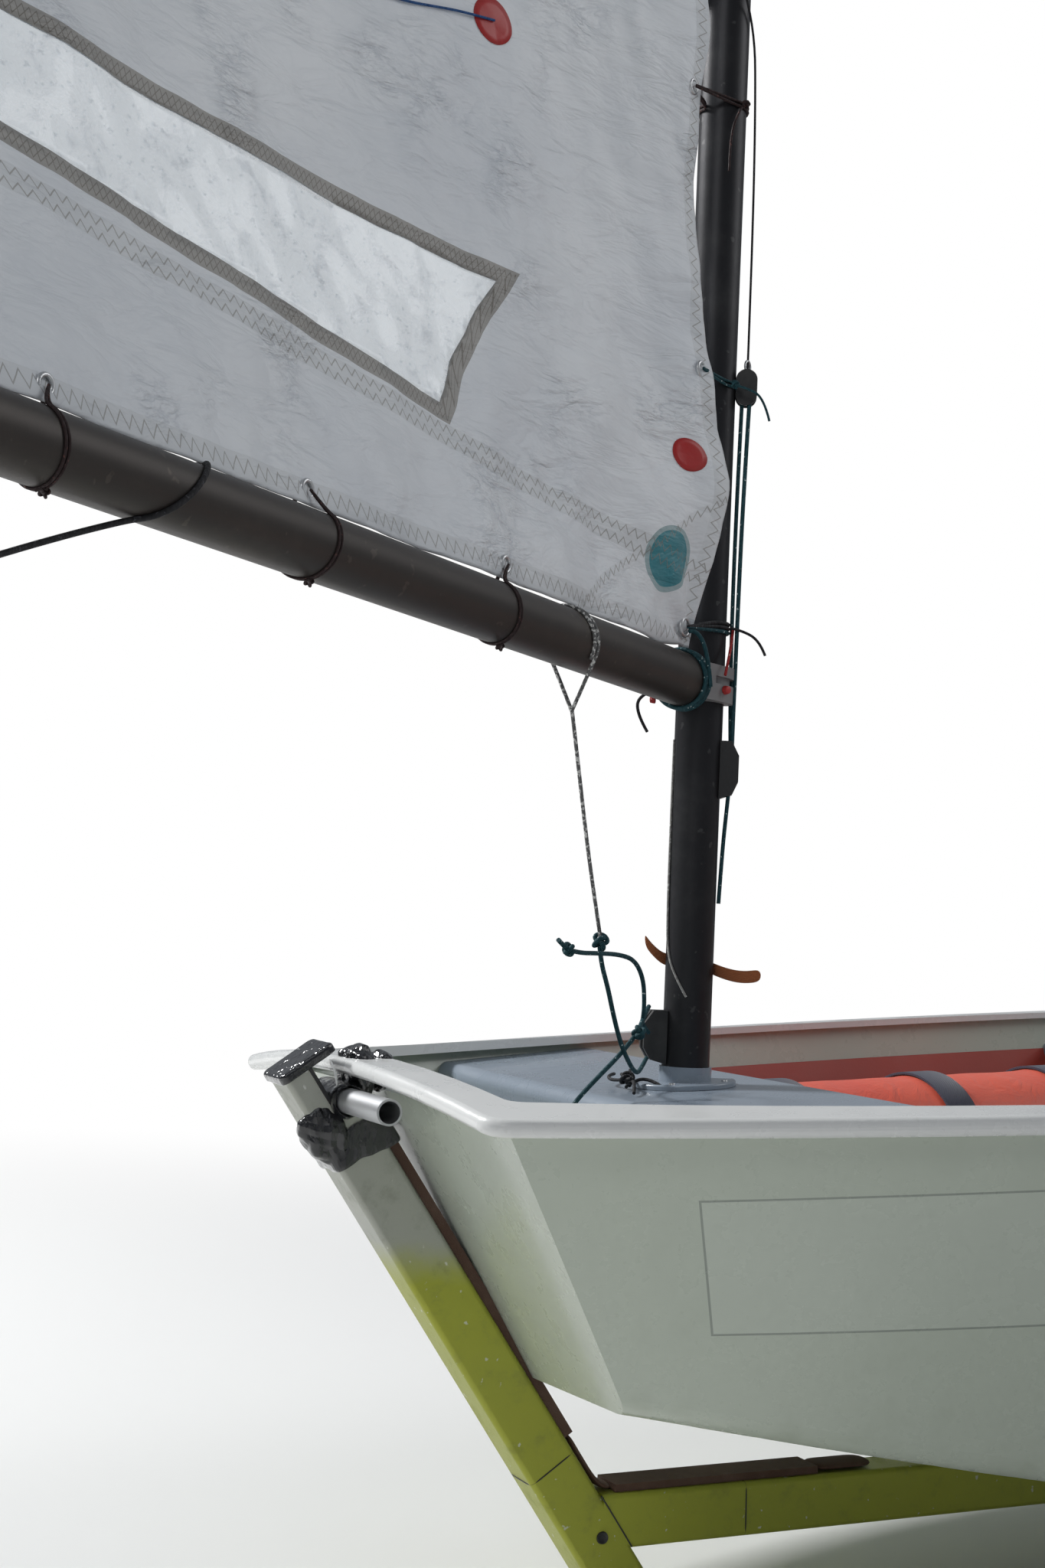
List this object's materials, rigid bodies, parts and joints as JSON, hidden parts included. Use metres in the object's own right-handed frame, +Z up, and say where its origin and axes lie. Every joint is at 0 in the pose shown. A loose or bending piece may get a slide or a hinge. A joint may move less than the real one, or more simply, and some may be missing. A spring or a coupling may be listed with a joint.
{
  "type": "sailing dinghy on a launching dolly",
  "caption": "Small blunt-bowed sailing dinghy with its sprit-rigged sail set, standing on a two-wheeled launching dolly.",
  "frame": {"origin": "on the ground under the middle of the whole assembly's box", "axes": "+X towards the bow, +Y to port, +Z up; the boat stands bow-down by 5 degrees on its dolly, as parked"},
  "size_m": [3.7544, 1.8402, 3.5185],
  "materials": {
    "gelcoat": "off-white moulded glass-fibre skin, slightly glossy",
    "rail_white": "white gunwale, glossy",
    "strap_navy": "dark blue woven webbing",
    "bag_orange": "orange coated fabric",
    "dark_tube": "graphite anodised aluminium tube",
    "boom_tube": "dark grey-brown anodised aluminium tube",
    "grey_plastic": "pale grey nylon",
    "black_plastic": "black moulded plastic",
    "window_clear": "clear flexible film, a little cloudy",
    "sailcloth": "white woven sailcloth",
    "steel": "stainless steel",
    "beam_finish": "anodised aluminium with a yellow-green tint",
    "aluminium": "plain aluminium tube",
    "pad_rubber": "brown rubber strip",
    "tyre": "black rubber tyre"
  },
  "bodies": {
    "boat_and_dolly": {"hull_shell": "gelcoat", "gunwale": "rail_white", "mast_thwart": "gelcoat", "mast_collar": "grey_plastic", "mast_step": "grey_plastic", "mid_frame": "gelcoat", "mid_thwart": "gelcoat", "daggerboard_case": "gelcoat", "buoyancy_bag_port": "bag_orange", "buoyancy_bag_starboard": "bag_orange", "buoyancy_bag_stern": "bag_orange", "bag_straps_port": "strap_navy", "bag_straps_starboard": "strap_navy", "bag_straps_stern": "strap_navy", "toe_straps": "strap_navy", "sheet_block": "black_plastic", "gudgeon_upper": "steel", "gudgeon_lower": "steel", "dolly_beam": "beam_finish", "dolly_arm": "beam_finish", "dolly_arm_cap": "black_plastic", "dolly_elbow": "beam_finish", "dolly_foot": "black_plastic", "dolly_handle": "aluminium", "dolly_hook": "black_plastic", "arm_pad": "pad_rubber", "beam_pad": "pad_rubber", "axle": "steel", "axle_collar_port": "steel", "axle_collar_starboard": "steel", "axle_cap_port": "steel", "axle_cap_starboard": "steel", "cradle_port": "pad_rubber", "cradle_starboard": "pad_rubber"},
    "rig": {"mast": "dark_tube", "mast_cap": "black_plastic", "boom": "boom_tube", "boom_jaw": "grey_plastic", "boom_end": "grey_plastic", "sprit": "dark_tube", "sail": "sailcloth", "sail_window": "window_clear", "vang_cleat": "black_plastic", "sprit_cleat": "black_plastic", "sprit_block": "black_plastic"},
    "wheel_port_turning": {"tyre_port": "tyre", "wheel_port": "grey_plastic"},
    "wheel_starboard_turning": {"tyre_starboard": "tyre", "wheel_starboard": "grey_plastic"}
  },
  "joints": [
    {"name": "rig_turn", "type": "hinge", "parent": "boat_and_dolly", "child": "rig", "pos_m": [0.15493, -0.33212, 0.4752], "axis": [0.0209, 0, 0.9998], "continuous": true},
    {"name": "wheel_port_spin", "type": "hinge", "parent": "boat_and_dolly", "child": "wheel_port_turning", "pos_m": [-0.96844, 0.19388, 0.13], "axis": [0, 1, 0], "continuous": true},
    {"name": "wheel_starboard_spin", "type": "hinge", "parent": "boat_and_dolly", "child": "wheel_starboard_turning", "pos_m": [-0.96844, -0.85812, 0.13], "axis": [0, 1, 0], "continuous": true}
  ]
}
